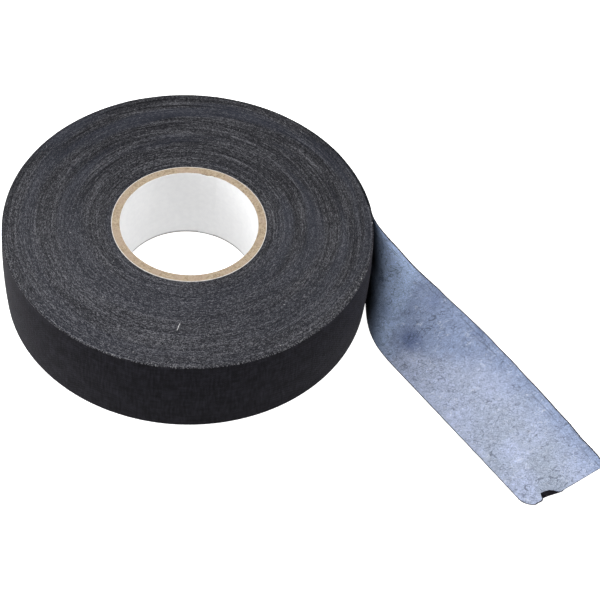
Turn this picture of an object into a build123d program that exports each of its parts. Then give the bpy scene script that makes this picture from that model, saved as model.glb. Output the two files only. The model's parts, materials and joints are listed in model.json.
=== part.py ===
from build123d import *

import os
from math import cos, degrees, radians, sin

# Cloth grip tape wound on a paper core, with its free end peeled off and lying on the table.
# Millimetres and degrees. The roll stands flat: its axis is Z and its lower face is at Z = 0.
# The tape winds inwards counter-clockwise from the peel line; the free end leaves towards -Y.

os.makedirs("parts", exist_ok=True)

# Tape
tape_width = 25.0
cloth_thickness = 0.19
adhesive_thickness = 0.08

# Roll and core
roll_radius = 51.5
core_bore_radius = 19.2
liner_thickness = 0.15
ply_thickness = 0.54
ply_count = 4
wrap_paper_thickness = 0.14

# The lifted stretch of the outer turn, back from the peel line
peel_angle = 9.9
lift_pitch = 22.5
lift_count = 4
lift_clearance = 0.1
hinge_gap = 0.3

# The free end: its lower edge lies on the table while the strip leans outwards
tail_count = 5
flex_pitch = 21.0
tail_lower_length = 98.0
tail_upper_length = 107.0
bend_start = 16.5
bend_length = 24.0
bend_turn = 35.5
lean_first_start = 2.0
lean_first = 45.8
lean_first_length = 32.2
lean_second_start = 28.3
lean_second = 16.7
lean_second_length = 30.3
lean_fall = 41.2
lean_fall_length = 168.0
stations_per_flex = 4
path_step = 0.25

# Worked out from the sizes above
tape_thickness = cloth_thickness + adhesive_thickness
core_radius = core_bore_radius + liner_thickness + ply_count * ply_thickness + wrap_paper_thickness
lifted_radius = roll_radius + lift_clearance
follow_length = lifted_radius * radians(peel_angle)


def polar(radius, angle, centre=(0.0, 0.0)):
    """The point at a radius and an angle about a centre."""
    return (centre[0] + radius * cos(radians(angle)), centre[1] + radius * sin(radians(angle)))


# The winding is a two-centre spiral: each half turn is a true arc, and the two centres
# stand apart by half the pitch, so the radius drops by one tape thickness in a full turn.
first_centre = polar(tape_thickness / 4, peel_angle)
second_centre = polar(-tape_thickness / 4, peel_angle)


def first_radius(depth):
    """Arc radius over the first half turn, at a depth below the outer surface."""
    return roll_radius - tape_thickness / 4 - depth


def second_radius(depth):
    """Arc radius over the second half turn, at a depth below the outer surface."""
    return roll_radius - 3 * tape_thickness / 4 - depth


def export(builder, name):
    """Label a finished piece and write it as its own STEP file."""
    builder.part.label = name
    export_step(builder.part, f"parts/{name}.step")


# Core: a white inner liner, kraft plies and a pale outer wrap, wound one on another

def core_tube(name, inner, wall):
    """One paper layer of the core."""
    with BuildPart() as tube:
        with BuildSketch():
            Circle(inner + wall)
            Circle(inner, mode=Mode.SUBTRACT)
        extrude(amount=tape_width)
    export(tube, name)


core_tube("core_inner_liner", core_bore_radius, liner_thickness)
for ply in range(ply_count):
    ply_inner = core_bore_radius + liner_thickness + ply * ply_thickness
    core_tube(f"core_ply_{ply + 1}", ply_inner, ply_thickness)
core_tube("core_outer_wrap", core_radius - wrap_paper_thickness, wrap_paper_thickness)


# Wound tape: every turn under the outermost one, with the step where that one comes off

with BuildPart() as wound_tape:
    with BuildSketch():
        with BuildLine():
            first_half = CenterArc(first_centre, first_radius(tape_thickness), peel_angle, 180)
            second_half = CenterArc(second_centre, second_radius(tape_thickness), peel_angle + 180, 180)
            Line(second_half @ 1, first_half @ 0)
        make_face()
        Circle(core_radius, mode=Mode.SUBTRACT)
    extrude(amount=tape_width)
export(wound_tape, "wound_tape")


# Outer turn: the part that stays down, from the lifted stretch round to the step

fixed_start = lift_pitch * lift_count
half_gap_angle = degrees(hinge_gap / 2 / roll_radius)


def outer_turn(name, depth, thickness):
    """A layer of the outermost turn from the end of the lifted stretch to the step."""
    start = peel_angle + fixed_start + half_gap_angle
    sweep_angle = 180 - fixed_start - half_gap_angle
    with BuildPart() as turn:
        with BuildSketch():
            with BuildLine():
                outer_first = CenterArc(first_centre, first_radius(depth), start, sweep_angle)
                outer_second = CenterArc(second_centre, second_radius(depth), peel_angle + 180, 180)
                inner_first = CenterArc(first_centre, first_radius(depth + thickness), start, sweep_angle)
                inner_second = CenterArc(
                    second_centre, second_radius(depth + thickness), peel_angle + 180, 180
                )
                Line(outer_first @ 0, inner_first @ 0)
                Line(outer_second @ 1, inner_second @ 1)
            make_face()
        extrude(amount=tape_width)
    export(turn, name)


outer_turn("outer_turn_cloth", 0, cloth_thickness)
outer_turn("outer_turn_adhesive", cloth_thickness, adhesive_thickness)


# Lifted stretch: segments of the outer turn that can peel off one after another

def lifted_segment(name, index, depth, thickness):
    """A layer of one lifted segment, standing a hair proud of the turn beneath."""
    start = peel_angle + index * lift_pitch + half_gap_angle
    sweep_angle = lift_pitch - 2 * half_gap_angle
    outer_radius = first_radius(depth) + lift_clearance
    with BuildPart() as segment:
        with BuildSketch():
            with BuildLine():
                outer = CenterArc(first_centre, outer_radius, start, sweep_angle)
                inner = CenterArc(first_centre, outer_radius - thickness, start, sweep_angle)
                Line(outer @ 0, inner @ 0)
                Line(outer @ 1, inner @ 1)
            make_face()
        extrude(amount=tape_width)
    export(segment, name)


for index in range(lift_count):
    lifted_segment(f"lift_{index + 1}_cloth", index, 0, cloth_thickness)
    lifted_segment(f"lift_{index + 1}_adhesive", index, cloth_thickness, adhesive_thickness)


# Free end: the cloth's lower edge runs along the table, and the strip leans out over it

def ease(share):
    """Runs smoothly from 0 to 1, level at both ends."""
    share = min(max(share, 0.0), 1.0)
    return share * share * (3 - 2 * share)


def heading(distance):
    """Direction of the lower edge, in degrees from +X."""
    follow = peel_angle * ease(distance / follow_length)
    bend = bend_turn * ease((distance - bend_start) / bend_length)
    return peel_angle - 90 - follow + bend


def lean(distance):
    """How far the strip leans outwards from upright, in degrees."""
    first = lean_first * ease((distance - lean_first_start) / lean_first_length)
    second = lean_second * ease((distance - lean_second_start) / lean_second_length)
    fall = lean_fall * ease(distance / lean_fall_length)
    return first + second - fall


def lower_edge(distance):
    """Point on the cloth's lower edge, a distance along it from the peel line."""
    steps = max(1, round(distance / path_step))
    step = distance / steps
    x, y = polar(lifted_radius, peel_angle)
    for number in range(steps):
        direction = radians(heading((number + 0.5) * step))
        x = x + step * cos(direction)
        y = y + step * sin(direction)
    return Vector(x, y, 0)


def along(distance):
    """Unit vector along the lower edge."""
    return Vector(*polar(1, heading(distance)), 0)


def across(distance):
    """Unit vector across the strip, from its lower edge to its upper edge."""
    outward = Vector(0, 0, 1).cross(along(distance))
    tilt = radians(lean(distance))
    return Vector(0, 0, cos(tilt)) + outward * sin(tilt)


def strip_section(lower, upper):
    """Plane across the strip and its width there; its Y is towards the adhesive side."""
    bottom = lower_edge(lower)
    top = lower_edge(upper) + across(upper) * tape_width
    width_direction = (top - bottom).normalized()
    adhesive_direction = along(lower).cross(across(lower))
    facing = width_direction.cross(adhesive_direction)
    return Plane(origin=bottom, x_dir=width_direction, z_dir=facing), (top - bottom).length


def tail_stations(index):
    """Where the sections of one segment stand, along its lower and its upper edge."""
    start = index * flex_pitch + hinge_gap / 2
    lower_end = (index + 1) * flex_pitch - hinge_gap / 2
    upper_end = lower_end
    if index == tail_count - 1:
        lower_end = tail_lower_length
        upper_end = tail_upper_length
    shares = [number / stations_per_flex for number in range(stations_per_flex + 1)]
    return [
        (start + share * (lower_end - start), start + share * (upper_end - start)) for share in shares
    ]


def tail_segment(name, index, height, thickness):
    """A layer of one segment of the free end; height is measured from the cloth's face."""
    with BuildPart() as segment:
        for lower, upper in tail_stations(index):
            plane, width = strip_section(lower, upper)
            with BuildSketch(plane):
                with Locations((0, height)):
                    Rectangle(width, thickness, align=(Align.MIN, Align.MIN))
        loft(ruled=True)
    export(segment, name)


for index in range(tail_count):
    tail_segment(f"tail_{index + 1}_cloth", index, 0, cloth_thickness)
    tail_segment(f"tail_{index + 1}_adhesive", index, cloth_thickness, adhesive_thickness)


# Hinge lines, printed for the record: the peel lines are upright, the flex lines run across the strip

neutral_depth = tape_thickness / 2
for index in range(lift_count + 1):
    line_radius = first_radius(neutral_depth) + lift_clearance
    x, y = polar(line_radius, peel_angle + index * lift_pitch, first_centre)
    print(f"peel line {index}: ({x:.4f}, {y:.4f})")
for index in range(1, tail_count):
    distance = index * flex_pitch
    line_start = lower_edge(distance) + along(distance).cross(across(distance)) * neutral_depth
    print(f"flex line {index}: at {tuple(line_start)}, along {tuple(across(distance))}")
print(f"turns: {(roll_radius - core_radius) / tape_thickness:.1f}")
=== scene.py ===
import json
from math import atan, atan2, cos, degrees, hypot, pi, radians, sin

import bpy
import numpy as np
from mathutils import Matrix, Vector, noise


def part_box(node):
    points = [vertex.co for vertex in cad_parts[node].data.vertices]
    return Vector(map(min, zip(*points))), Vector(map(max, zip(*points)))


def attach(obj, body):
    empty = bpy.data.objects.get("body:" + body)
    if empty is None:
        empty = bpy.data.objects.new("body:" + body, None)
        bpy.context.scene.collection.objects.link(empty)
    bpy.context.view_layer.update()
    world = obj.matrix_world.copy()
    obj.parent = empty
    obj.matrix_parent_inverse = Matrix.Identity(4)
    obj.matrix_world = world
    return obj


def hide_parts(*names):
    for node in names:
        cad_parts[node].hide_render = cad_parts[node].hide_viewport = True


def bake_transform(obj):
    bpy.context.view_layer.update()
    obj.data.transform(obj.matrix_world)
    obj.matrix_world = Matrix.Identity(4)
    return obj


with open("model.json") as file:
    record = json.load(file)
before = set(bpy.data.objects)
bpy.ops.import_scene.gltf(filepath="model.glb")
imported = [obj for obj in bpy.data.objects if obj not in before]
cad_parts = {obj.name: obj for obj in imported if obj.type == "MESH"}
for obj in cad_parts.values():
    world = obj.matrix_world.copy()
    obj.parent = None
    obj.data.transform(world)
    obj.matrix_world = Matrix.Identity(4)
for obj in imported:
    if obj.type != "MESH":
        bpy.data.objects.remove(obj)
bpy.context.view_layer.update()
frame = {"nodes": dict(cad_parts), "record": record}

print("frame loaded")

# Sizes that the frame holds
record = frame["record"]
jointPlaces = {joint["name"]: joint for joint in record["behaviour"]["joints"]}
mountSizes = {mount["name"]: mount["dims"] for mount in record["mounts"]}
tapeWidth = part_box("wound_tape")[1][2]
boreRadius = mountSizes["core_bore"]["r_mm"] / 1000
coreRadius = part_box("core_outer_wrap")[1][0]
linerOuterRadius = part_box("core_inner_liner")[1][0]
peelPlace = Vector(jointPlaces["free_end_swing"]["pos_m"])
peelAngle = atan2(peelPlace.y, peelPlace.x)

# thickness of each layer, how far the loose end stands off the roll, and the bare strip at each edge
tape = {"cloth": 0.00019, "adhesive": 0.00008, "lift": 0.0001, "bareEdge": 0.00027}
tapePitch = tape["cloth"] + tape["adhesive"]
clothRadius = hypot(peelPlace.x, peelPlace.y) + tapePitch / 2
rollRadius = clothRadius - tape["lift"]
fullTurn = 2 * pi

freeEnd = {
    "lowerLength": 0.098, "upperLength": 0.107, "cornerRadius": 0.0045,
    "bareCorner": 0.75, "bareFade": 0.0015,
    "bendStart": 0.0165, "bendLength": 0.024, "bendTurn": 35.5,
    # each lean: where it starts, the length it grows over, and its degrees
    "firstLean": (0.0020, 0.0322, 45.8), "secondLean": (0.0283, 0.0303, 16.7),
    "leanFall": (0.0, 0.168, 41.2), "leanAtPeel": 0.7, "leanBefore": 0.02, "leanPast": 0.008,
    "cupping": 0.0004, "cuppingGrowth": 0.04,
    "wave": 0.0001, "wavePace": 260, "waveSlant": 3, "waveGrowth": 0.03, "waveFoot": 0.2,
}

# painted shadow: this folded tongue of black cloth at the cut end stands in for the dark shade under the
# tape's end
shadowFlap = {
    # heights where the tongue starts, is full and ends
    "low": 0.0049, "lowFull": 0.0066, "highFull": 0.0086, "high": 0.0118,
    "length": 0.00255, "turn": 168, "radius": 0.00042,
    # the cut steps in beside it: share, start and length of each step, then how it comes back
    "inset": 0.0013, "insetSteps": ((0.3, 0.0024, 0.0012), (0.7, 0.0047, 0.0009)),
    "insetEnd": 0.0125, "insetReturn": 0.0075,
}

rollShape = {
    "crown": 0.00045, "outOfRound": 0.00025, "longSide": 0.08, "proud": 0.0001,
    "settleLength": 0.03, "layDownTurn": 0.25,
}


def ease(share):
    share = np.clip(share, 0, 1)
    return share * share * (3 - 2 * share)


def smoothNoise(points, scale, offset=0.0):
    shift = Vector((offset, offset * 0.7, -offset))
    return np.array([noise.noise(Vector(point) * scale + shift) for point in points])


# The tape's path: distance 0 is the peel line, negative is back on the roll

pathStep = 0.00025
pathEnd = 0.12
pathDistances = np.arange(0, pathEnd, pathStep)


def heading(distance):
    follow = degrees(peelAngle) * ease(distance / (clothRadius * peelAngle))
    bend = freeEnd["bendTurn"] * ease((distance - freeEnd["bendStart"]) / freeEnd["bendLength"])
    return np.radians(degrees(peelAngle) - 90 - follow + bend)


def leanPart(distance, name):
    start, length, turn = freeEnd[name]
    return turn * ease((distance - start) / length)


def lean(distance):
    rise = leanPart(distance, "firstLean") + leanPart(distance, "secondLean")
    before = ease(1 + distance / freeEnd["leanBefore"])
    kept = freeEnd["leanAtPeel"] * before * (1 - ease(distance / freeEnd["leanPast"]))
    return np.radians(rise - leanPart(distance, "leanFall") + kept)


middleHeadings = heading(pathDistances[:-1] + pathStep / 2)
stepsX, stepsY = np.cos(middleHeadings), np.sin(middleHeadings)
pathX = clothRadius * cos(peelAngle) + np.concatenate([[0], np.cumsum(stepsX) * pathStep])
pathY = clothRadius * sin(peelAngle) + np.concatenate([[0], np.cumsum(stepsY) * pathStep])


def straightCut(across):
    return freeEnd["lowerLength"] + (freeEnd["upperLength"] - freeEnd["lowerLength"]) * across


def shadowFlapLength(across):
    # a small tongue of the cut end is folded back over the adhesive; its black cloth side is a painted
    # shadow, standing in for the dark shade under the cut end
    fromCorner = across * tapeWidth
    rise = ease((fromCorner - shadowFlap["low"]) / (shadowFlap["lowFull"] - shadowFlap["low"]))
    fall = ease((shadowFlap["high"] - fromCorner) / (shadowFlap["high"] - shadowFlap["highFull"]))
    return shadowFlap["length"] * rise * fall


def creaseAt(across, bare=0.0):
    # where the tape ends or folds back, at each share of its width; bare is cloth without adhesive
    corner = freeEnd["cornerRadius"]
    fromCorner = across * tapeWidth
    inset = np.clip(corner - fromCorner, 0, corner - bare)
    rounded = corner - np.sqrt((corner - bare) ** 2 - inset ** 2)
    rounded = rounded - bare * freeEnd["bareCorner"] * ease((fromCorner - corner) / freeEnd["bareFade"])
    steps = shadowFlap["insetSteps"]
    steppedIn = sum(share * ease((fromCorner - start) / length) for share, start, length in steps)
    notch = shadowFlap["inset"] * steppedIn * ease((shadowFlap["insetEnd"] - fromCorner) / shadowFlap["insetReturn"])
    return straightCut(across) - rounded - notch


def cutEnd(across, bare=0.0):
    return creaseAt(across, bare) + shadowFlapLength(across)


def rollBulge(angle, share):
    # the roll isn't quite round, and its turns stand out a little at the middle of the width
    oval = rollShape["outOfRound"] * np.cos(angle - rollShape["longSide"]) ** 2 + rollShape["proud"]
    return oval + rollShape["crown"] * 4 * share * (1 - share)


def plainFace(distance, across):
    # the cloth's outer face without the flap at its cut end
    angle = peelAngle - np.minimum(distance, 0) / clothRadius
    turned = (angle - peelAngle) / fullTurn
    settled = ease(-distance / rollShape["settleLength"])
    laidDown = ease(turned / rollShape["layDownTurn"])
    radius = clothRadius - tapePitch * turned - tape["lift"] * laidDown
    radius = radius + rollBulge(angle, across) * settled
    tilt = lean(distance)
    away = radius + np.sin(tilt) * across * tapeWidth
    wound = np.stack([away * np.cos(angle), away * np.sin(angle), np.cos(tilt) * across * tapeWidth], -1)
    ahead = np.maximum(distance, 0)
    direction = heading(ahead)
    bulge = freeEnd["cupping"] * 4 * across * (1 - across) * ease(ahead / freeEnd["cuppingGrowth"])
    ripple = np.sin(ahead * freeEnd["wavePace"] + freeEnd["waveSlant"] * across)
    rippled = ease(ahead / freeEnd["waveGrowth"]) * ease(across / freeEnd["waveFoot"])
    wave = freeEnd["wave"] * ripple * rippled
    outward = np.sin(tilt) * across * tapeWidth - np.cos(tilt) * (bulge + wave)
    lowerX = np.interp(ahead, pathDistances, pathX)
    lowerY = np.interp(ahead, pathDistances, pathY)
    height = np.cos(tilt) * across * tapeWidth + np.sin(tilt) * (bulge + wave)
    free = np.stack(
        [lowerX - np.sin(direction) * outward, lowerY + np.cos(direction) * outward, height], -1
    )
    return np.where((distance < 0)[:, None], wound, free)


def faceDirections(face, distance, across):
    small, smallShare = 0.00005, 0.002
    alongStep = face(distance + small, across) - face(distance - small, across)
    acrossStep = face(distance, across + smallShare) - face(distance, across - smallShare)
    along = alongStep / np.linalg.norm(alongStep, axis=1)[:, None]
    facing = np.cross(alongStep, acrossStep)
    return along, facing / np.linalg.norm(facing, axis=1)[:, None]


def clothFace(distance, across):
    # past the crease the cloth turns up and back over itself, the tongue that stands in as painted shadow
    crease = creaseAt(across)
    past = np.maximum(distance - crease, 0)
    radius = shadowFlap["radius"]
    turn = np.minimum(past / radius, radians(shadowFlap["turn"]))
    straight = past - turn * radius
    forward = radius * np.sin(turn) + straight * np.cos(turn)
    up = radius * (1 - np.cos(turn)) + straight * np.sin(turn)
    held = np.minimum(distance, crease)
    along, facing = faceDirections(plainFace, held, across)
    return plainFace(held, across) + along * forward[:, None] + facing * up[:, None]


def layerFace(distance, across, height):
    # height is above the cloth's outer face, towards the adhesive
    facing = faceDirections(clothFace, distance, across)[1]
    return clothFace(distance, across) + facing * height[:, None]


def clearSelection():
    if bpy.context.object and bpy.context.object.mode != "OBJECT":
        bpy.ops.object.mode_set(mode="OBJECT")
    bpy.ops.object.select_all(action="DESELECT")


def applyModifier(piece, kind, **settings):
    bpy.context.view_layer.objects.active = piece
    modifier = piece.modifiers.new(kind.title(), kind)
    for key, value in settings.items():
        setattr(modifier, key, value)
    bpy.ops.object.modifier_apply(modifier=modifier.name)


def addGrid(name, columns, rows):
    # a flat grid whose vertices run 0 to 1 both ways; returns it and those shares
    clearSelection()
    bpy.ops.mesh.primitive_grid_add(x_subdivisions=columns, y_subdivisions=rows, size=1)
    grid = bpy.context.object
    grid.name = name
    places = np.empty(len(grid.data.vertices) * 3)
    grid.data.vertices.foreach_get("co", places)
    return grid, places.reshape(-1, 3)[:, :2] + 0.5


def placeVertices(piece, places):
    piece.data.vertices.foreach_set("co", np.asarray(places, float).ravel())
    piece.data.update()


def writeUv(piece, values):
    corners = np.empty(len(piece.data.loops), int)
    piece.data.loops.foreach_get("vertex_index", corners)
    piece.data.uv_layers.active.data.foreach_set("uv", values[corners].ravel())


def smoothByAngle(piece, angle=35):
    clearSelection()
    piece.select_set(True)
    bpy.context.view_layer.objects.active = piece
    bpy.ops.object.shade_smooth_by_angle(angle=radians(angle))


def finishFaces(piece):
    # faces point outwards
    clearSelection()
    piece.select_set(True)
    bpy.context.view_layer.objects.active = piece
    bpy.ops.object.mode_set(mode="EDIT")
    bpy.ops.mesh.select_all(action="SELECT")
    bpy.ops.mesh.normals_make_consistent(inside=False)
    bpy.ops.object.mode_set(mode="OBJECT")


# Material helpers

def addNode(tree, kind, **settings):
    node = tree.nodes.new(kind)
    for key, value in settings.items():
        setattr(node, key, value)
    return node


def mathNode(tree, operation, first, second=None, third=None):
    node = addNode(tree, "ShaderNodeMath", operation=operation)
    for index, value in enumerate((first, second, third)):
        if value is None:
            continue
        if isinstance(value, (int, float)):
            node.inputs[index].default_value = value
        else:
            tree.links.new(value, node.inputs[index])
    return node.outputs[0]


def times(tree, first, second):
    return mathNode(tree, "MULTIPLY", first, second)


def plus(tree, first, second):
    return mathNode(tree, "ADD", first, second)


def minus(tree, first, second):
    return mathNode(tree, "SUBTRACT", first, second)


def timesPlus(tree, value, scale, added):
    return mathNode(tree, "MULTIPLY_ADD", value, scale, added)


def splitPlace(tree, place):
    parts = addNode(tree, "ShaderNodeSeparateXYZ")
    tree.links.new(place, parts.inputs[0])
    return parts


def noiseNode(tree, vector, scale, detail=2.0, roughness=0.5, distortion=0.0):
    node = addNode(tree, "ShaderNodeTexNoise")
    node.inputs["Scale"].default_value = scale
    node.inputs["Detail"].default_value = detail
    node.inputs["Roughness"].default_value = roughness
    node.inputs["Distortion"].default_value = distortion
    tree.links.new(vector, node.inputs["Vector"])
    return node.outputs["Fac"]


def rangeNode(tree, value, low, high, toLow=0.0, toHigh=1.0, smooth=True):
    node = addNode(tree, "ShaderNodeMapRange")
    node.interpolation_type = "SMOOTHSTEP" if smooth else "LINEAR"
    for name, item in (("From Min", low), ("From Max", high), ("To Min", toLow), ("To Max", toHigh)):
        node.inputs[name].default_value = item
    tree.links.new(value, node.inputs["Value"])
    return node.outputs["Result"]


def colourMix(tree, amount, first, second, blend="MIX"):
    node = addNode(tree, "ShaderNodeMix", data_type="RGBA", blend_type=blend)
    for socket, value in ((node.inputs[0], amount), (node.inputs[6], first), (node.inputs[7], second)):
        if isinstance(value, (int, float)):
            socket.default_value = value
        elif isinstance(value, (tuple, list)):
            socket.default_value = (*value, 1.0)
        else:
            tree.links.new(value, socket)
    return node.outputs[2]


def bumpNode(tree, height, strength, distance):
    node = addNode(tree, "ShaderNodeBump")
    node.inputs["Strength"].default_value = strength
    node.inputs["Distance"].default_value = distance
    tree.links.new(height, node.inputs["Height"])
    return node.outputs["Normal"]


def startMaterial(name, **sockets):
    material = bpy.data.materials.new(name)
    material.use_nodes = True
    shader = material.node_tree.nodes["Principled BSDF"]
    for key, value in sockets.items():
        shader.inputs[key.replace("_", " ")].default_value = value
    return material, material.node_tree, shader


def objectCoordinates(tree):
    return addNode(tree, "ShaderNodeTexCoord").outputs["Object"]


def uvCoordinates(tree):
    return addNode(tree, "ShaderNodeTexCoord").outputs["UV"]


def setMaterial(piece, material):
    piece.data.materials.clear()
    piece.data.materials.append(material)


def groupSocket(group, name, direction, kind="NodeSocketFloat", value=None):
    socket = group.interface.new_socket(name=name, in_out=direction, socket_type=kind)
    if value is not None:
        socket.default_value = value


weaveLook = {"threadsPerMetre": 2300.0, "crossing": 0.35, "ribs": 0.5, "slubScale": 900}


def makeWeaveGroup():
    # plain weave: threads one over one, from a place in metres along and across the tape
    look = weaveLook
    group = bpy.data.node_groups.new("plainWeave", "ShaderNodeTree")
    groupSocket(group, "Place", "INPUT", "NodeSocketVector")
    groupSocket(group, "Threads per metre", "INPUT", value=look["threadsPerMetre"])
    groupSocket(group, "Height", "OUTPUT")
    groupSocket(group, "Tone", "OUTPUT")
    start = addNode(group, "NodeGroupInput")
    end = addNode(group, "NodeGroupOutput")
    parts = addNode(group, "ShaderNodeSeparateXYZ")
    group.links.new(start.outputs["Place"], parts.inputs[0])
    waves = []
    for axis in (0, 1):
        turns = times(group, parts.outputs[axis], start.outputs["Threads per metre"])
        waves.append(mathNode(group, "SINE", times(group, turns, pi)))
    crossing = times(group, waves[0], waves[1])
    ribs = plus(group, mathNode(group, "ABSOLUTE", waves[0]), mathNode(group, "ABSOLUTE", waves[1]))
    height = timesPlus(group, crossing, look["crossing"], times(group, ribs, look["ribs"]))
    slub = noiseNode(group, start.outputs["Place"], look["slubScale"], 3, 0.6)
    group.links.new(height, end.inputs["Height"])
    group.links.new(timesPlus(group, height, 0.5, slub), end.inputs["Tone"])
    return group


speckleLook = {
    "scale": 3000.0, "roughness": 0.7, "cellShare": 0.45, "dot": (0.12, 0.32),
    "patchScale": 700, "patch": (0.56, 0.70),
}


def makeSpeckleGroup():
    # short pale fibres and dark gaps, at the scale of a thread end
    look = speckleLook
    group = bpy.data.node_groups.new("fibreSpeckle", "ShaderNodeTree")
    groupSocket(group, "Place", "INPUT", "NodeSocketVector")
    groupSocket(group, "Scale", "INPUT", value=look["scale"])
    groupSocket(group, "Fine", "OUTPUT")
    groupSocket(group, "Flecks", "OUTPUT")
    start = addNode(group, "NodeGroupInput")
    end = addNode(group, "NodeGroupOutput")
    fine = addNode(group, "ShaderNodeTexNoise")
    fine.inputs["Detail"].default_value = 2
    fine.inputs["Roughness"].default_value = look["roughness"]
    group.links.new(start.outputs["Place"], fine.inputs["Vector"])
    group.links.new(start.outputs["Scale"], fine.inputs["Scale"])
    cells = addNode(group, "ShaderNodeTexVoronoi")
    group.links.new(start.outputs["Place"], cells.inputs["Vector"])
    group.links.new(times(group, start.outputs["Scale"], look["cellShare"]), cells.inputs["Scale"])
    dot = rangeNode(group, cells.outputs["Distance"], *look["dot"], 1.0, 0.0)
    patches = noiseNode(group, start.outputs["Place"], look["patchScale"], 1)
    group.links.new(fine.outputs["Fac"], end.inputs["Fine"])
    group.links.new(times(group, dot, rangeNode(group, patches, *look["patch"])), end.inputs["Flecks"])
    return group


weaveGroup = makeWeaveGroup()
speckleGroup = makeSpeckleGroup()


def placeGroup(tree, group, vector, **values):
    node = addNode(tree, "ShaderNodeGroup")
    node.node_tree = group
    tree.links.new(vector, node.inputs["Place"])
    for key, value in values.items():
        node.inputs[key.replace("_", " ")].default_value = value
    return node.outputs


clothLook = {
    "dark": (0.0026, 0.0024, 0.0040), "light": (0.0150, 0.0142, 0.0200), "edge": (0.18, 0.18, 0.195),
    "roughness": 0.8, "specular": 0.08, "sheen": 0.09, "sheenRoughness": 0.34,
    "sheenTint": (0.93, 0.90, 1.0, 1.0),
    # for the yarns that run each way: scale along, scale across and share of the tone
    "yarns": ((1700, 260, 0.5), (240, 1500, 0.35)), "weaveShare": 0.16, "cloudShare": 0.3,
    "cloudScale": 260, "tone": (0.56, 0.92),
    # cut yarn ends, as distances in from the edge
    "edgeFrom": 0.00045, "edgeFull": 0.00005, "endScale": 2600, "endPatch": (0.48, 0.62),
    "relief": 0.00008,
}


def blackClothMaterial():
    look = clothLook
    material, tree, shader = startMaterial(
        "blackCloth", Roughness=look["roughness"], Specular_IOR_Level=look["specular"],
        Sheen_Weight=look["sheen"], Sheen_Roughness=look["sheenRoughness"],
        Sheen_Tint=look["sheenTint"],
    )
    place = uvCoordinates(tree)
    parts = splitPlace(tree, place)
    weave = placeGroup(tree, weaveGroup, place)
    yarnTones = []
    for alongScale, acrossScale, share in look["yarns"]:
        vector = addNode(tree, "ShaderNodeCombineXYZ")
        tree.links.new(times(tree, parts.outputs[0], alongScale), vector.inputs[0])
        tree.links.new(times(tree, parts.outputs[1], acrossScale), vector.inputs[1])
        yarnTones.append(times(tree, noiseNode(tree, vector.outputs[0], 1.0, 2, 0.5), share))
    cloud = noiseNode(tree, place, look["cloudScale"], 3)
    tone = plus(tree, yarnTones[0], yarnTones[1])
    tone = timesPlus(tree, weave["Tone"], look["weaveShare"], tone)
    tone = timesPlus(tree, cloud, look["cloudShare"], tone)
    colour = colourMix(tree, rangeNode(tree, tone, *look["tone"]), look["dark"], look["light"])
    # cut yarn ends show pale at both edges
    fromMiddle = mathNode(tree, "ABSOLUTE", minus(tree, parts.outputs[1], tapeWidth / 2))
    edgeFrom, edgeFull = tapeWidth / 2 - look["edgeFrom"], tapeWidth / 2 - look["edgeFull"]
    atEdge = rangeNode(tree, fromMiddle, edgeFrom, edgeFull)
    yarnEnds = rangeNode(tree, noiseNode(tree, place, look["endScale"], 1), *look["endPatch"])
    colour = colourMix(tree, times(tree, atEdge, yarnEnds), colour, look["edge"])
    tree.links.new(colour, shader.inputs["Base Color"])
    tree.links.new(bumpNode(tree, weave["Height"], 0.5, look["relief"]), shader.inputs["Normal"])
    return material


woundLook = {
    "dark": (0.014, 0.014, 0.018), "mid": (0.058, 0.059, 0.069), "light": (0.275, 0.275, 0.300),
    "blue": (0.064, 0.072, 0.104), "fleck": (0.42, 0.42, 0.44),
    "roughness": 0.9, "specular": 0.12, "sheen": 0.08, "sheenRoughness": 0.5,
    # each pattern: how far it is kept round the ring, and its scale
    "turns": (0.34, 3700), "rings": (0.03, 1700), "bands": (0.12, 190),
    "clumpScale": 520, "speckleScale": 4200.0,
    "fineShare": 0.55, "turnShare": 0.45, "clumpShare": 0.06,
    "midTone": (0.40, 0.54), "lightTone": (0.50, 0.66), "blueBands": (0.44, 0.66),
    # the direction towards the front left, then what changes along it, the last a painted shade: from,
    # to, first value, last value
    "frontLeftAxis": (-0.3, -0.95), "ringDepth": (-0.03, 0.02, 0.34, 0.20),
    "blueShare": (-0.03, 0.03, 0.48, 0.12), "paintedSideShade": (-0.045, 0.045, 0.66, 1.11),
    "rimWidth": 0.0012, "fleckShare": (0.35, 0.9), "relief": 0.0003,
}


def radiusFromAxis(tree, parts):
    x, y = parts.outputs[0], parts.outputs[1]
    squares = plus(tree, times(tree, x, x), times(tree, y, y))
    return mathNode(tree, "SQRT", squares)


def ringNoise(tree, parts, radius, pattern, roughness):
    # a pattern drawn out along the turns: across them it keeps its scale
    alongRing, scale = pattern
    vector = addNode(tree, "ShaderNodeCombineXYZ")
    tree.links.new(radius, vector.inputs[0])
    tree.links.new(times(tree, parts.outputs[0], alongRing), vector.inputs[1])
    tree.links.new(times(tree, parts.outputs[1], alongRing), vector.inputs[2])
    return noiseNode(tree, vector.outputs[0], scale, 2, roughness)


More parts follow.
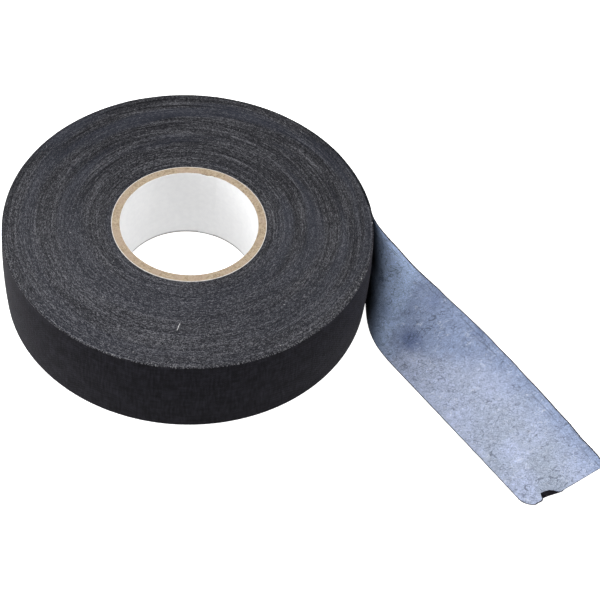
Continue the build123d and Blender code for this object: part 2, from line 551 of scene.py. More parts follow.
def woundEdgesMaterial():
    look = woundLook
    material, tree, shader = startMaterial(
        "woundEdges", Roughness=look["roughness"], Specular_IOR_Level=look["specular"],
        Sheen_Weight=look["sheen"], Sheen_Roughness=look["sheenRoughness"],
    )
    place = objectCoordinates(tree)
    parts = splitPlace(tree, place)
    radius = radiusFromAxis(tree, parts)
    turns = ringNoise(tree, parts, radius, look["turns"], 0.6)
    rings = ringNoise(tree, parts, radius, look["rings"], 0.6)
    bands = ringNoise(tree, parts, radius, look["bands"], 0.5)
    # painted shade: the top is painted lighter towards the front left and darker towards the back right;
    # towards the back right the rings also show deeper and the blue bands stronger
    axisX, axisY = look["frontLeftAxis"]
    frontLeftAxis = timesPlus(tree, parts.outputs[0], axisX, times(tree, parts.outputs[1], axisY))
    ringDepth = rangeNode(tree, frontLeftAxis, *look["ringDepth"])
    clumps = noiseNode(tree, place, look["clumpScale"], 2, 0.5)
    speckle = placeGroup(tree, speckleGroup, place, Scale=look["speckleScale"])
    fine = times(tree, speckle["Fine"], look["fineShare"])
    grain = plus(tree, fine, times(tree, turns, look["turnShare"]))
    grain = timesPlus(tree, minus(tree, rings, 0.5), ringDepth, grain)
    grain = timesPlus(tree, minus(tree, clumps, 0.5), look["clumpShare"], grain)
    colour = colourMix(tree, rangeNode(tree, grain, *look["midTone"]), look["dark"], look["mid"])
    colour = colourMix(tree, rangeNode(tree, grain, *look["lightTone"]), colour, look["light"])
    blueShare = rangeNode(tree, frontLeftAxis, *look["blueShare"])
    blue = times(tree, rangeNode(tree, bands, *look["blueBands"]), blueShare)
    colour = colourMix(tree, blue, colour, look["blue"])
    # painted shade, by side: the colour is scaled from darker at the back right to lighter at the front
    # left
    paintedSideShade = rangeNode(tree, frontLeftAxis, *look["paintedSideShade"], smooth=False)
    colour = colourMix(tree, 1.0, colour, paintedSideShade, "MULTIPLY")
    nearRim = rangeNode(tree, radius, rollRadius - look["rimWidth"], rollRadius, *look["fleckShare"])
    colour = colourMix(tree, times(tree, speckle["Flecks"], nearRim), colour, look["fleck"])
    tree.links.new(colour, shader.inputs["Base Color"])
    tree.links.new(bumpNode(tree, grain, 0.9, look["relief"]), shader.inputs["Normal"])
    return material


adhesiveLook = {
    # the darkest of these colours is painted shade beside the roll, and the brightest blue is painted
    # light on the coat near the roll
    "paintedShade": (0.006, 0.007, 0.010), "paintedLightCoat": (0.395, 0.500, 0.725), "blue": (0.242, 0.302, 0.460),
    "pale": (0.364, 0.415, 0.570), "grey": (0.300, 0.345, 0.437), "spot": (0.085, 0.12, 0.26),
    "fibre": (0.055, 0.068, 0.105), "fleck": (0.82, 0.86, 0.95), "specular": 0.3,
    "cloudScale": 120, "mottleScale": 700, "grainScale": 2600, "warmScale": 70,
    # distances along the tape: where the painted light before the bend gives way to the pale coat, and
    # where it greys
    "pastBend": (0.030, 0.040), "greyed": (0.04, 0.10, 0.1, 0.9), "warmPatch": (0.40, 0.60),
    # slanted limits: how far each moves along for its height, then its range along the tape
    "bandStart": (0.55, 0.0325, 0.0395), "bandEnd": (-1.4, 0.027, 0.038),
    # the next two limits place the painted shade next to the roll
    "rollShadow": (1.6, 0.020, 0.042), "besideRollShadow": (0.55, 0.0160, 0.0268),
    # heights on the tape
    "highUp": (0.007, 0.013), "upperFrom": 0.0150, "upperShare": 0.95,
    # along, across, size and strength of each blue stain
    "stains": (
        (0.0390, 0.0085, 0.0050, 0.62), (0.0250, 0.0085, 0.0045, 0.30),
        (0.0365, 0.0222, 0.0045, 0.30), (0.0527, 0.0236, 0.0028, 0.35), (0.0120, 0.0250, 0.0030, 0.40),
    ),
    "mottleTone": 0.08, "grainTone": 0.14, "fibreAngle": 50, "fibreStretch": 0.55,
    # curly lines: scale, width, level and strength
    "darkLines": (1150, 0.055, 0.47, -0.27), "paleLines": (1250, 0.050, 0.53, 0.24),
    # curly fibres: scale, width, scale of their patches and strength
    "longFibres": (380, 0.0140, 120, 0.62), "shortFibres": (640, 0.0190, 230, 0.58),
    "fibrePatch": (0.48, 0.53), "streakScale": 1900, "streakStretch": 0.09,
    "streakPatch": (0.56, 0.68), "streakHeights": (0.0205, 0.0235, 0.0, 0.55),
    "flecks": (700, 0.018, 280), "fleckPatch": (0.49, 0.56), "fleckShare": (0.030, 0.050, 0.0, 0.32),
    "gloss": (0.3, 0.7, 0.45, 0.7), "relief": 0.00014,
}


def contourLines(tree, place, scale, width, level=0.5):
    # thin curly lines: where a distorted noise crosses one level
    field = noiseNode(tree, place, scale, 0.6, 0.5, 1.1)
    offset = mathNode(tree, "ABSOLUTE", minus(tree, field, level))
    return rangeNode(tree, offset, width * 0.4, width, 1.0, 0.0)


def curlyFibres(tree, place, scale, width, patchScale, patch):
    # contour lines kept only in short stretches
    line = contourLines(tree, place, scale, width)
    chosen = rangeNode(tree, noiseNode(tree, place, patchScale, 1), *patch)
    return times(tree, line, chosen)


def leaningPlace(tree, along, across, angle, stretch):
    # the place on the tape, turned and drawn out along the way the fibres lie
    vector = addNode(tree, "ShaderNodeCombineXYZ")
    forward = timesPlus(tree, across, sin(angle), times(tree, along, cos(angle)))
    sideways = timesPlus(tree, across, cos(angle), times(tree, along, -sin(angle)))
    tree.links.new(times(tree, forward, stretch), vector.inputs[0])
    tree.links.new(sideways, vector.inputs[1])
    return vector.outputs[0]


def stainMask(tree, along, across, cloud, stain):
    spotAlong, spotAcross, size, strength = stain
    x = mathNode(tree, "DIVIDE", minus(tree, along, spotAlong), size)
    y = mathNode(tree, "DIVIDE", minus(tree, across, spotAcross), size * 0.8)
    squares = timesPlus(tree, x, x, times(tree, y, y))
    spread = timesPlus(tree, cloud, 2.2, mathNode(tree, "SQRT", squares))
    return rangeNode(tree, spread, 0.0, 1.2, strength, 0.0)


def slantedMask(tree, across, along, limits, first=0.0, last=1.0):
    # a mask along the tape whose limit moves with the height
    slant, low, high = limits
    return rangeNode(tree, timesPlus(tree, across, slant, along), low, high, first, last)


def adhesiveColours(tree, along, across, cloud, warm):
    look = adhesiveLook
    drift = timesPlus(tree, cloud, 0.02, along)
    greyed = times(
        tree, rangeNode(tree, warm, *look["warmPatch"]), rangeNode(tree, along, *look["greyed"])
    )
    # before the bend the coat is a painted light, a brighter blue for light near the roll; past the bend
    # the coat is pale, and greyer towards the cut end
    past = colourMix(tree, greyed, look["pale"], look["grey"])
    farEnough = rangeNode(tree, drift, *look["pastBend"])
    colour = colourMix(tree, farEnough, look["paintedLightCoat"], past)
    # a bluer band lies across the bend, and along the upper edge
    bandStart = slantedMask(tree, across, drift, look["bandStart"])
    bandEnd = slantedMask(tree, across, drift, look["bandEnd"], 1.0, 0.0)
    colour = colourMix(tree, times(tree, bandStart, bandEnd), colour, look["blue"])
    height = timesPlus(tree, cloud, 0.006, across)
    upper = rangeNode(tree, height, look["upperFrom"], tapeWidth, 0.0, look["upperShare"])
    colour = colourMix(tree, times(tree, upper, farEnough), colour, look["blue"])
    for stain in look["stains"]:
        colour = colourMix(tree, stainMask(tree, along, across, cloud, stain), colour, look["spot"])
    # painted shade: next to the roll the coat is painted dark for the shadow between roll and tape,
    # furthest at the lower edge
    clouded = timesPlus(tree, cloud, 0.006, along)
    rollShadow = slantedMask(tree, across, clouded, look["rollShadow"], 1.0, 0.0)
    colour = colourMix(tree, rollShadow, colour, look["paintedShade"])
    # more painted shade: a narrow dark band beside the roll, on the upper part of the tape
    besideRollShadow = slantedMask(tree, across, along, look["besideRollShadow"], 1.0, 0.0)
    highUp = rangeNode(tree, across, *look["highUp"])
    return colourMix(tree, times(tree, besideRollShadow, highUp), colour, look["paintedShade"])


def adhesiveFibres(tree, along, across, leaning):
    look = adhesiveLook
    kinds = []
    for name in ("longFibres", "shortFibres"):
        scale, width, patchScale, strength = look[name]
        fibres = curlyFibres(tree, leaning, scale, width, patchScale, look["fibrePatch"])
        kinds.append(times(tree, fibres, strength))
    fibres = mathNode(tree, "MAXIMUM", kinds[0], kinds[1])
    streakPlace = leaningPlace(tree, along, across, 0.0, look["streakStretch"])
    streaks = noiseNode(tree, streakPlace, look["streakScale"], 1)
    streaks = rangeNode(tree, streaks, *look["streakPatch"])
    atUpperEdge = rangeNode(tree, across, *look["streakHeights"])
    return mathNode(tree, "MAXIMUM", fibres, times(tree, streaks, atUpperEdge))


def adhesiveMaterial():
    look = adhesiveLook
    material, tree, shader = startMaterial("adhesiveCoat", Specular_IOR_Level=look["specular"])
    place = uvCoordinates(tree)
    parts = splitPlace(tree, place)
    along, across = parts.outputs[0], parts.outputs[1]
    cloud = minus(tree, noiseNode(tree, place, look["cloudScale"], 4, 0.6), 0.5)
    mottle = noiseNode(tree, place, look["mottleScale"], 3, 0.65, 0.4)
    grain = noiseNode(tree, place, look["grainScale"], 2, 0.6)
    warm = noiseNode(tree, place, look["warmScale"], 2, 0.5)
    colour = adhesiveColours(tree, along, across, cloud, warm)
    tones = []
    for pattern, name in ((mottle, "mottleTone"), (grain, "grainTone")):
        tones.append(rangeNode(tree, pattern, 0.3, 0.7, -look[name], look[name]))
    tone = plus(tree, tones[0], tones[1])
    leaning = leaningPlace(tree, along, across, radians(look["fibreAngle"]), look["fibreStretch"])
    for name in ("darkLines", "paleLines"):
        scale, width, level, strength = look[name]
        tone = timesPlus(tree, contourLines(tree, leaning, scale, width, level), strength, tone)
    colour = colourMix(tree, 1.0, colour, plus(tree, tone, 1.0), "MULTIPLY")
    fibres = adhesiveFibres(tree, along, across, leaning)
    colour = colourMix(tree, fibres, colour, look["fibre"])
    flecks = curlyFibres(tree, leaning, *look["flecks"], look["fleckPatch"])
    awayFromRoll = timesPlus(tree, across, look["rollShadow"][0], timesPlus(tree, cloud, 0.006, along))
    flecks = times(tree, flecks, rangeNode(tree, awayFromRoll, *look["fleckShare"]))
    colour = colourMix(tree, flecks, colour, look["fleck"])
    tree.links.new(colour, shader.inputs["Base Color"])
    tree.links.new(rangeNode(tree, mottle, *look["gloss"]), shader.inputs["Roughness"])
    relief = timesPlus(tree, mottle, 0.8, times(tree, grain, 0.4))
    relief = timesPlus(tree, fibres, -0.5, relief)
    tree.links.new(bumpNode(tree, relief, 0.6, look["relief"]), shader.inputs["Normal"])
    return material


kraftLook = {
    "light": (0.49, 0.395, 0.282), "dark": (0.235, 0.168, 0.105), "pink": (0.45, 0.345, 0.265),
    "plyLine": (0.23, 0.155, 0.09), "plies": 4, "roughness": 0.85, "specular": 0.25,
    "fibreScale": 1700, "fibreTone": (0.30, 0.60), "patchScale": 260,
    # the glue line between two plies, as shares of a ply, and its strength
    "lineFade": (0.02, 0.16, 0.45, 0.0), "linePatch": (0.35, 0.6),
    "pinkPatch": (0.45, 0.62), "pinkShare": 0.6, "relief": 0.00012,
}


def kraftMaterial():
    look = kraftLook
    material, tree, shader = startMaterial(
        "kraftBoard", Roughness=look["roughness"], Specular_IOR_Level=look["specular"]
    )
    place = objectCoordinates(tree)
    parts = splitPlace(tree, place)
    fibres = noiseNode(tree, place, look["fibreScale"], 4, 0.7, 0.5)
    patches = noiseNode(tree, place, look["patchScale"], 2)
    fibreTone = rangeNode(tree, fibres, *look["fibreTone"])
    colour = colourMix(tree, fibreTone, look["dark"], look["light"])
    plyThickness = (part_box("core_ply_4")[1][0] - linerOuterRadius) / look["plies"]
    fromLiner = minus(tree, radiusFromAxis(tree, parts), linerOuterRadius)
    across = mathNode(tree, "DIVIDE", fromLiner, plyThickness)
    fromLine = mathNode(tree, "PINGPONG", across, 0.5)
    plyLine = rangeNode(tree, fromLine, *look["lineFade"])
    plyLine = times(tree, plyLine, rangeNode(tree, patches, *look["linePatch"]))
    colour = colourMix(tree, plyLine, colour, look["plyLine"])
    pinkPatches = times(tree, rangeNode(tree, patches, *look["pinkPatch"]), look["pinkShare"])
    colour = colourMix(tree, pinkPatches, colour, look["pink"])
    tree.links.new(colour, shader.inputs["Base Color"])
    tree.links.new(bumpNode(tree, fibres, 0.6, look["relief"]), shader.inputs["Normal"])
    return material


paperLook = {
    "linerLight": (0.93, 0.93, 0.93), "linerDark": (0.885, 0.885, 0.89), "linerRoughness": 0.5,
    "wrapLight": (0.95, 0.94, 0.91), "wrapDark": (0.74, 0.68, 0.62), "wrapRoughness": 0.7,
    "specular": 0.35, "pulpScale": 700, "relief": 0.00004,
    # the liner's lower edge is painted darker, a painted contact shadow where it meets the floor
    "paintedFootShadow": 0.75, "footHeights": (0.0004, 0.0011), "footShadowColour": (0.20, 0.20, 0.20),
}


def paperMaterial(name, light, dark, roughness, paintedFootShadow=0.0):
    look = paperLook
    material, tree, shader = startMaterial(name, Roughness=roughness, Specular_IOR_Level=look["specular"])
    place = objectCoordinates(tree)
    pulp = noiseNode(tree, place, look["pulpScale"], 4, 0.6)
    colour = colourMix(tree, rangeNode(tree, pulp, 0.3, 0.7), dark, light)
    if paintedFootShadow:
        parts = splitPlace(tree, place)
        # painted shadow: darker towards the floor, for the contact shadow at the liner's foot
        footShadowMask = rangeNode(tree, parts.outputs[2], *look["footHeights"], paintedFootShadow, 0.0)
        colour = colourMix(tree, footShadowMask, colour, look["footShadowColour"])
    tree.links.new(colour, shader.inputs["Base Color"])
    tree.links.new(bumpNode(tree, pulp, 0.15, look["relief"]), shader.inputs["Normal"])
    return material


lintLook = {
    "pale": (0.55, 0.55, 0.57), "white": (0.85, 0.85, 0.85), "dark": (0.045, 0.055, 0.085),
    "roughness": 0.8, "scale": 2500, "tone": (0.3, 0.7, 0.7, 1.15),
}


def lintMaterial(name, colour):
    material, tree, shader = startMaterial(name, Roughness=lintLook["roughness"])
    place = objectCoordinates(tree)
    tone = rangeNode(tree, noiseNode(tree, place, lintLook["scale"], 1), *lintLook["tone"])
    tree.links.new(colourMix(tree, 1.0, colour, tone, "MULTIPLY"), shader.inputs["Base Color"])
    return material


clothMaterial = blackClothMaterial()
woundMaterial = woundEdgesMaterial()
coatMaterial = adhesiveMaterial()
boardMaterial = kraftMaterial()
linerMaterial = paperMaterial(
    "linerPaper", paperLook["linerLight"], paperLook["linerDark"], paperLook["linerRoughness"],
    paperLook["paintedFootShadow"],
)
wrapMaterial = paperMaterial(
    "wrapPaper", paperLook["wrapLight"], paperLook["wrapDark"], paperLook["wrapRoughness"]
)
paleLint = lintMaterial("paleLint", lintLook["pale"])
whiteLint = lintMaterial("whiteLint", lintLook["white"])
darkLint = lintMaterial("darkLint", lintLook["dark"])
print("materials made")

# Wound turns: every tape edge is a crown with a groove beside it, in one long spiral

woundTurns = {
    "steps": 180, "pointsPerTurn": 3, "crown": 0.00005, "groove": 0.00009,
    "drift": 0.00007, "coreDip": 0.00022, "coreDipWidth": 0.0007,
    # how the drift changes from turn to turn, with the radius and round the ring
    "driftPerTurn": 5.0, "driftRadial": 900, "driftAround": 40, "settleRate": 6,
    "weldGap": 0.000004, "smallestEdge": 0.000001,
}


def selectOpenEdges():
    bpy.ops.mesh.select_all(action="DESELECT")
    bpy.ops.mesh.select_non_manifold(
        extend=False, use_wire=False, use_multi_face=False, use_non_contiguous=False, use_verts=False
    )


def bridgeInnerWall(piece, radius):
    # joins the two open rings at the bore side, then closes what else is open
    clearSelection()
    piece.select_set(True)
    bpy.context.view_layer.objects.active = piece
    bpy.ops.object.mode_set(mode="EDIT")
    bpy.ops.mesh.select_mode(type="EDGE")
    bpy.ops.mesh.select_all(action="SELECT")
    bpy.ops.mesh.remove_doubles(threshold=woundTurns["weldGap"])
    bpy.ops.mesh.dissolve_degenerate(threshold=woundTurns["smallestEdge"])
    selectOpenEdges()
    bpy.ops.object.mode_set(mode="OBJECT")
    vertices = piece.data.vertices
    for edge in piece.data.edges:
        if edge.select:
            middle = (vertices[edge.vertices[0]].co + vertices[edge.vertices[1]].co) / 2
            edge.select = hypot(middle.x, middle.y) < radius * 1.002
    bpy.ops.object.mode_set(mode="EDIT")
    bpy.ops.mesh.bridge_edge_loops()
    selectOpenEdges()
    bpy.ops.mesh.fill()
    bpy.ops.mesh.select_all(action="SELECT")
    bpy.ops.mesh.normals_make_consistent(inside=False)
    bpy.ops.mesh.select_mode(type="VERT")
    bpy.ops.object.mode_set(mode="OBJECT")


def makeWoundTurns():
    outerRadius = rollRadius - tapePitch
    perTurn = woundTurns["pointsPerTurn"]
    turnCount = int((outerRadius - coreRadius) / tapePitch) + 2
    topCount = turnCount * perTurn
    columns = topCount + 1 + turnCount + 1
    grid, shares = addGrid("woundTurns", columns - 1, woundTurns["steps"])
    column = np.rint(shares[:, 0] * (columns - 1)).astype(int)
    turned = shares[:, 1]
    onTop = column <= topCount
    topRing = np.minimum(column, topCount)
    bottomRing = np.clip(column - topCount - 1, 0, turnCount)
    inFromOuter = np.where(onTop, (topCount - topRing) / perTurn, bottomRing) + turned
    radius = np.maximum(outerRadius - tapePitch * inFromOuter, coreRadius)
    angle = peelAngle + fullTurn * turned
    outShare = (radius - coreRadius) / (outerRadius - coreRadius)
    shown = radius + rollBulge(angle, 0) * outShare ** 2 * ease(turned * woundTurns["settleRate"])
    x, y = shown * np.cos(angle), shown * np.sin(angle)
    around = woundTurns["driftAround"]
    unrolled = np.stack([inFromOuter * woundTurns["driftPerTurn"], inFromOuter * 0, inFromOuter * 0], -1)
    ringPlaces = np.stack([radius * woundTurns["driftRadial"], x * around, y * around], -1)
    edgeDrift = smoothNoise(unrolled, 1.0, 3.1) * 0.5 + smoothNoise(ringPlaces, 1.0, 7.7)
    isGroove = (topRing % perTurn) == (topCount % perTurn)
    crown = np.where(isGroove, -woundTurns["groove"], woundTurns["crown"])
    crown = crown + woundTurns["drift"] * edgeDrift
    dip = woundTurns["coreDip"] * np.exp(-(radius - coreRadius) / woundTurns["coreDipWidth"])
    atCore = radius < coreRadius + 0.000001
    top = tapeWidth + np.where(atCore, 0, crown) - dip
    bottom = np.maximum(woundTurns["drift"] * edgeDrift * 0.5, 0) + dip * 0.3
    placeVertices(grid, np.stack([x, y, np.where(onTop, top, bottom)], -1))
    bridgeInnerWall(grid, coreRadius)
    smoothByAngle(grid, 50)
    setMaterial(grid, woundMaterial)
    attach(grid, "roll")
    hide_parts("wound_tape")
    return grid


makeWoundTurns()
print("wound turns made")

# Tape: the outer turn, the part that peels and the free end, as cloth and adhesive sheets

liftPitch = radians(22.5)
liftCount = 4
flexPitch = 0.021
flexCount = 4
cutEndStart = 0.0905
swingBend = 0.006
liftLength = liftPitch * clothRadius
stepDistance = -fullTurn * clothRadius
lastTail = f"tail_{flexCount + 1}"
bodyStarts = [("roll", -liftLength * (liftCount + 1))]
bodyStarts += [(f"lift_{number}", -liftLength * number) for number in range(liftCount, 0, -1)]
bodyStarts += [(f"tail_{number}", flexPitch * (number - 1)) for number in range(1, flexCount + 2)]

# the raggedness of the cut edges: depths, scales along the tape, and how it grows at the cut end
rag = {
    "fine": 0.00006, "slow": 0.0001, "fineScale": 1500, "slowScale": 160,
    "frayed": 1.6, "frayedFrom": 0.085, "frayedGrowth": 0.01,
}

# the size of the mesh faces
cells = {"outerCloth": 0.0008, "outerAdhesive": 0.0016, "stretch": 0.0006, "cutEnd": 0.0002}


def edgeRag(distance, side):
    # cut cotton edges are never quite straight
    fine = np.stack([distance * rag["fineScale"], distance * 0 + side * 5, distance * 0], -1)
    slow = np.stack([distance * rag["slowScale"], distance * 0 + side * 9, distance * 0], -1)
    frayed = 1 + rag["frayed"] * ease((distance - rag["frayedFrom"]) / rag["frayedGrowth"]) * (side > 0)
    return (rag["fine"] * smoothNoise(fine, 1.0) + rag["slow"] * smoothNoise(slow, 1.0)) * frayed


def tapeSheet(name, layer, start, end, cell):
    # one stretch of one layer; end None runs to the cut end
    isCloth = layer == "cloth"
    stop = freeEnd["upperLength"] if end is None else end
    columns = max(8, round((stop - start) / cell))
    rows = round(tapeWidth / cell)
    sheet, shares = addGrid(name, columns, rows)
    bare = 0.0 if isCloth else tape["bareEdge"] / tapeWidth
    across = bare + shares[:, 1] * (1 - 2 * bare)
    finish = cutEnd(across, bare * tapeWidth) if end is None else np.full(len(across), end)
    distance = start + shares[:, 0] * (finish - start)
    side = np.where(shares[:, 1] > 0.5, 1.0, -1.0)
    atEdge = ease(np.abs(shares[:, 1] - 0.5) * 2 * rows / 2 - rows / 2 + 1)
    ragged = edgeRag(distance, side) * atEdge / tapeWidth
    across = across + np.where(shares[:, 1] > 0.5, ragged, np.abs(ragged))
    middle = tape["cloth"] / 2 if isCloth else tape["cloth"] + tape["adhesive"] / 2
    placeVertices(sheet, layerFace(distance, across, np.full(len(across), middle)))
    writeUv(sheet, np.stack([distance, across * tapeWidth], -1))
    applyModifier(sheet, "SOLIDIFY", thickness=tape[layer], offset=0, use_even_offset=True)
    finishFaces(sheet)
    smoothByAngle(sheet)
    setMaterial(sheet, clothMaterial if isCloth else coatMaterial)
    return sheet


def middlePoint(distance):
    return layerFace(np.array([distance]), np.array([0.5]), np.array([tapePitch / 2]))[0]


def blendOver(piece, start, end):
    tuple(middlePoint(start))
    tuple(middlePoint(end))
    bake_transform(piece)


def makeOuterTurn():
    start, end = stepDistance, -liftLength * (liftCount + 0.5)
    for layer, cell in (("cloth", cells["outerCloth"]), ("adhesive", cells["outerAdhesive"])):
        sheet = tapeSheet(f"outerTurn.{layer}", layer, start, end, cell)
        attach(sheet, "roll")
        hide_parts(f"outer_turn_{layer}")


def makeBendingStretches():
    for index in range(1, len(bodyStarts)):
        before, after = bodyStarts[index - 1], bodyStarts[index]
        hinge = after[1]
        onRoll = after[0].startswith("lift")
        upToPeelLine = onRoll or after[0] == "tail_1"
        pitch = liftLength if upToPeelLine else flexPitch
        nextPitch = liftLength if onRoll else flexPitch
        start, end = hinge - pitch / 2, hinge + nextPitch / 2
        # on the roll the span given for the bend starts at its line, though the sheet's shape doesn't use
        # this span
        bendBefore = 0 if upToPeelLine else pitch / 2
        bendAfter = swingBend if after[0] == "tail_1" else nextPitch / 2
        if after[0] == lastTail:
            bendBefore = bendAfter = cutEndStart - hinge
            end = cutEndStart
        for layer in ("cloth", "adhesive"):
            sheet = tapeSheet(f"{after[0]}.{layer}", layer, start, end, cells["stretch"])
            blendOver(sheet, hinge - bendBefore, hinge + bendAfter)
            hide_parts(f"{after[0]}_{layer}")


def makeCutEnd():
    for layer in ("cloth", "adhesive"):
        sheet = tapeSheet(f"cutEnd.{layer}", layer, cutEndStart, None, cells["cutEnd"])
        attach(sheet, lastTail)
        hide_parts(f"{lastTail}_{layer}")


makeOuterTurn()
makeBendingStretches()
makeCutEnd()
print("tape made")

# Core

liner = {
    "steps": 480, "rows": 24, "seamPlace": 70, "lap": 12, "lapRise": 0.05, "lapGap": 1.02,
    "ragged": 0.00008, "fineRag": 45, "slowRag": 14, "slowShare": 0.8,
    "nickDepth": 0.00055, "nickWidth": 0.0013, "nickPlace": 77,
    "topGap": 0.00006, "footGap": 0.0003, "unevenness": 0.00003, "thicknessShare": 0.96,
}


def makeLiner():
    # one strip of paper glued round the bore, its end lapped over its beginning
    sheet, shares = addGrid("linerPaper", liner["steps"], liner["rows"])
    swept = shares[:, 0] * radians(360 + liner["lap"])
    angle = radians(liner["seamPlace"]) + swept
    thickness = linerOuterRadius - boreRadius
    lapped = ease((swept - fullTurn + liner["lapRise"]) / liner["lapRise"])
    radius = boreRadius + thickness / 2 - lapped * thickness * liner["lapGap"]
    around = np.stack([np.cos(angle), np.sin(angle), angle * 0], -1)
    slow = liner["slowShare"] * smoothNoise(around * liner["slowRag"], 1.0, 5.0)
    ragged = liner["ragged"] * (smoothNoise(around * liner["fineRag"], 1.0) + slow)
    fromNick = (np.degrees(angle) - liner["nickPlace"] + 180) % 360 - 180
    nickShare = np.exp(-(np.radians(fromNick) * boreRadius / liner["nickWidth"]) ** 2)
    nick = liner["nickDepth"] * nickShare * (0.7 + 0.6 * smoothNoise(around * 60, 1.0, 2.0))
    top = tapeWidth - liner["topGap"] + ragged - nick
    bottom = liner["footGap"] + ragged * 0.6
    height = bottom + (top - bottom) * shares[:, 1]
    radius = radius + liner["unevenness"] * smoothNoise(around * 6, 1.0, 9.0)
    placeVertices(sheet, np.stack([radius * np.cos(angle), radius * np.sin(angle), height], -1))
    paperThickness = thickness * liner["thicknessShare"]
    applyModifier(sheet, "SOLIDIFY", thickness=paperThickness, offset=0, use_even_offset=True)
    finishFaces(sheet)
    smoothByAngle(sheet)
    setMaterial(sheet, linerMaterial)
    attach(sheet, "roll")
    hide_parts("core_inner_liner")


def coverNode(name, material):
    for slot in frame["nodes"][name].material_slots:
        slot.material = material


makeLiner()
for number in range(1, kraftLook["plies"] + 1):
    coverNode(f"core_ply_{number}", boardMaterial)
coverNode("core_outer_wrap", wrapMaterial)
print("core made")

# Lint: single fibres caught on the top, along the rim and at the cut end

lint = {
    "rimFibres": 90, "topFibres": 60, "cutFibres": 18, "thickness": 0.00003, "thick": 0.00009,
    "speckLength": 0.00035, "above": 0.00006, "arch": 0.18,
    "rimInset": 0.0001, "rimSpread": 0.0005, "rimAngles": (-170, -15), "topShares": (0.05, 0.98),
    "rimLengths": (0.0002, 0.0006), "topLengths": (0.0002, 0.0007), "cutLengths": (0.00015, 0.0005),
    "cutShares": (0.42, 1.0), "cutRise": (-0.3, 0.5), "cutInset": 0.0001,
    # angle and radius of each larger speck
    "specks": (
        (-171, 0.0329), (-106.5, 0.0486), (-129, 0.0361), (-48, 0.0389), (-60, 0.0495),
        (-21.8, 0.0512), (-26.8, 0.0511), (2.0, 0.0514),
    ),
    # one long white fibre lies on the top
    "longFibre": (
        (-0.00243, -0.03890, 0.02514), (-0.00215, -0.03815, 0.02528),
        (-0.00195, -0.03735, 0.02530), (-0.00172, -0.03660, 0.02514),
    ),
}
randomNumbers = np.random.default_rng(11)


def makeFibres(name, strands, body, material):
    # each strand is a list of points with one thickness
    clearSelection()
    curve = bpy.data.curves.new(name, "CURVE")
    curve.dimensions = "3D"
    curve.bevel_depth = 1.0
    curve.bevel_resolution = 0
    curve.use_fill_caps = True
    for points, thickness in strands:
        spline = curve.splines.new("POLY")
        spline.points.add(len(points) - 1)
        for point, place in zip(spline.points, points):
            point.co = (*place, 1)
            point.radius = thickness
    piece = bpy.data.objects.new(name, curve)
    bpy.context.scene.collection.objects.link(piece)
    piece.select_set(True)
    bpy.context.view_layer.objects.active = piece
    bpy.ops.object.convert(target="MESH")
    piece = bpy.context.object
    setMaterial(piece, material)
    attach(piece, body)
    return piece


def curledStrand(start, direction, up, length, curl):
    # a short arc that lifts off the surface at its middle
    side = direction.cross(up).normalized()
    points = []
    for step in range(5):
        share = step / 4
        bend = curl * length * (share * share - share)
        lift = lint["arch"] * length * 4 * share * (1 - share)
        points.append(tuple(start + direction * (length * share) + side * bend + up * lift))
    return points


def topStrand(radius, angle, length):
    start = Vector((radius * cos(angle), radius * sin(angle), tapeWidth + lint["above"]))
    turn = angle + randomNumbers.uniform(0, pi)
    direction = Vector((cos(turn), sin(turn), 0))
    return curledStrand(start, direction, Vector((0, 0, 1)), length, randomNumbers.uniform(-1, 1))


def makeLint():
    strands = []
    for number in range(lint["rimFibres"]):
        radius = rollRadius - lint["rimInset"] - abs(randomNumbers.normal(0, lint["rimSpread"]))
        angle = radians(randomNumbers.uniform(*lint["rimAngles"]))
        length = randomNumbers.uniform(*lint["rimLengths"])
        strands.append((topStrand(radius, angle, length), lint["thickness"]))
    for number in range(lint["topFibres"]):
        radius = coreRadius + (rollRadius - coreRadius) * randomNumbers.uniform(*lint["topShares"])
        angle = randomNumbers.uniform(-pi, pi)
        length = randomNumbers.uniform(*lint["topLengths"])
        strands.append((topStrand(radius, angle, length), lint["thickness"]))
    for angle, radius in lint["specks"]:
        strands.append((topStrand(radius, radians(angle), lint["speckLength"]), lint["thick"]))
    makeFibres("topLint", strands, "roll", paleLint)
    makeFibres("whiteFibre", [(lint["longFibre"], lint["thick"])], "roll", whiteLint)


def makeFrayedYarns():
    strands = []
    for number in range(lint["cutFibres"]):
        across = np.array([randomNumbers.uniform(*lint["cutShares"])])
        distance = creaseAt(across) - lint["cutInset"]
        start = layerFace(distance, across, np.array([tape["cloth"] / 2]))[0]
        along, facing = faceDirections(plainFace, distance, across)
        up = Vector(facing[0])
        direction = Vector(along[0]) + up * randomNumbers.uniform(*lint["cutRise"])
        length = randomNumbers.uniform(*lint["cutLengths"])
        curl = randomNumbers.uniform(-1, 1)
        strand = curledStrand(Vector(start), direction.normalized(), up, length, curl)
        strands.append((strand, lint["thickness"]))
    makeFibres("frayedYarns", strands, lastTail, darkLint)


makeLint()
makeFrayedYarns()
print("lint made")

# Studio

studio = {
    "floorSize": 4.0, "floorGap": 0.00002, "floorColour": (0.85, 0.85, 0.85, 1), "floorRoughness": 0.9,
    "worldStrength": 0.34, "floorGlow": 0.16, "floorShown": 0.97, "aim": (0.02, -0.02, 0),
    # place, size and strength of each light
    "lights": (
        ("overheadLight", (-0.10, 0.0, 1.1), 1.0, 6.3),
        ("leftSoftbox", (-0.85, -0.06, 0.38), 0.7, 6.8),
        ("rightSoftbox", (0.80, -0.10, 0.45), 0.7, 3.2),
    ),
}


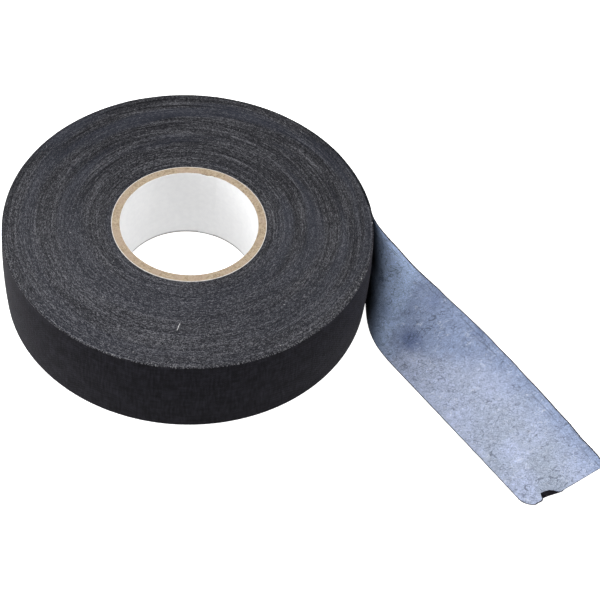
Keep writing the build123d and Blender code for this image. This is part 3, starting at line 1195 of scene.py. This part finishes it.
def makeStudio():
    clearSelection()
    bpy.ops.mesh.primitive_plane_add(size=studio["floorSize"], location=(0, 0, -studio["floorGap"]))
    floor = bpy.context.object
    floor.name = "studioFloor"
    material, tree, shader = startMaterial("studioWhite", Roughness=studio["floorRoughness"])
    shader.inputs["Base Color"].default_value = studio["floorColour"]
    shader.inputs["Emission Strength"].default_value = 1
    seen = addNode(tree, "ShaderNodeLightPath").outputs["Is Camera Ray"]
    glow, shown = studio["floorGlow"], studio["floorShown"]
    tree.links.new(colourMix(tree, seen, (glow,) * 3, (shown,) * 3), shader.inputs["Emission Color"])
    setMaterial(floor, material)
    world = bpy.data.worlds.new("studioWorld")
    bpy.context.scene.world = world
    world.use_nodes = True
    background = world.node_tree.nodes["Background"]
    background.inputs["Color"].default_value = (1, 1, 1, 1)
    background.inputs["Strength"].default_value = studio["worldStrength"]
    for name, place, size, energy in studio["lights"]:
        bpy.ops.object.light_add(type="AREA", location=place)
        lamp = bpy.context.object
        lamp.name = name
        lamp.data.energy = energy
        lamp.data.size = size
        aim = Vector(studio["aim"]) - lamp.location
        lamp.rotation_euler = aim.to_track_quat("-Z", "Y").to_euler()
    bpy.context.scene.view_settings.view_transform = "Standard"


# distances in roll radii, angles in radians, and the tangent of half the view
cameraView = {
    "back": 6.4934, "up": 7.5518, "yaw": 0.0987, "pitch": 0.8671, "roll": 0.1039,
    "halfView": 0.1697735,
}


def makeCamera():
    place = Vector((0, -cameraView["back"], cameraView["up"])) * rollRadius
    yaw, pitch = cameraView["yaw"], cameraView["pitch"]
    aim = Vector((sin(yaw) * cos(pitch), cos(yaw) * cos(pitch), -sin(pitch)))
    turn = aim.to_track_quat("-Z", "Y").to_matrix() @ Matrix.Rotation(cameraView["roll"], 3, "Z")
    data = bpy.data.cameras.new("rollCamera")
    data.sensor_width = 36
    data.angle = 2 * atan(cameraView["halfView"])
    data.clip_start = 0.01
    camera = bpy.data.objects.new("rollCamera", data)
    bpy.context.scene.collection.objects.link(camera)
    camera.matrix_world = Matrix.Translation(place) @ turn.to_4x4()
    bpy.context.scene.camera = camera


makeStudio()
makeCamera()
print("studio made")
